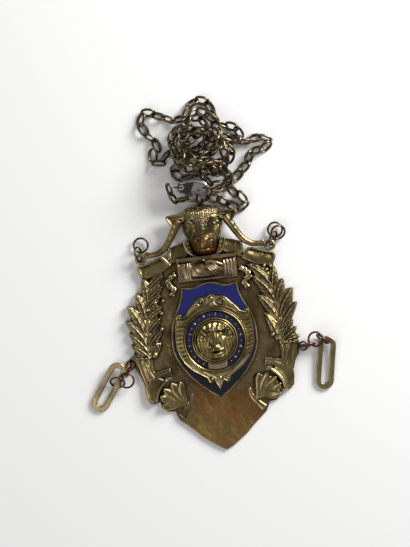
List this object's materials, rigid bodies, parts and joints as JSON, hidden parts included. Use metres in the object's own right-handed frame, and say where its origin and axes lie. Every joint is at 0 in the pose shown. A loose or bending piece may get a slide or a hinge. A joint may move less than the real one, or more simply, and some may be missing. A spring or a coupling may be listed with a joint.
{
  "type": "chain of office",
  "caption": "Brass pendant of office on its neck chain: bull's head, clasped hands, enamelled shield with a lion mask and laurel sprays.",
  "frame": {"origin": "under the centre of the lion medallion, on the plaque's flat back", "axes": "+Z away from the back, towards the viewer; +Y towards the bull's head; +X to the viewer's right"},
  "size_m": [0.1125, 0.1585, 0.0199],
  "materials": {
    "aged_brass": "aged, rubbed bright on its high points",
    "antique_brass": "dark antique, polished by wear",
    "copper_plate": "worn copper plating",
    "blue_enamel": "glossy vitreous enamel",
    "steel": "dull nickel-plated steel"
  },
  "bodies": {
    "pendant": {"plaque": "aged_brass", "bull_head": "aged_brass", "handclasp_bar": "copper_plate", "shield": "aged_brass", "enamel_upper": "blue_enamel", "enamel_lower": "blue_enamel", "enamel_ring": "blue_enamel", "ring_tablet": "copper_plate", "lion_medallion": "aged_brass", "bail": "aged_brass", "clasp_body": "steel", "oval_link_left": "aged_brass", "oval_link_right": "aged_brass", "chain": "antique_brass", "upper_left_ring_1": "antique_brass", "upper_left_ring_2": "antique_brass", "upper_right_ring_1": "antique_brass", "upper_right_ring_2": "antique_brass", "upper_right_ring_3": "antique_brass", "lower_left_ring_1": "antique_brass", "lower_left_ring_2": "antique_brass", "lower_left_ring_3": "antique_brass", "lower_right_ring_1": "antique_brass", "lower_right_ring_2": "antique_brass", "lower_right_ring_3": "antique_brass", "clasp_ring": "antique_brass", "end_ring": "antique_brass"},
    "lever": {"clasp_lever": "steel"}
  },
  "joints": [
    {"name": "clasp_lever_hinge", "type": "hinge", "parent": "pendant", "child": "lever", "pos_m": [-0.00381, 0.06675, 0.0093], "axis": [0, 0, 1], "range_deg": [0, 20], "stiffness_Nm_per_rad": 0.002}
  ]
}
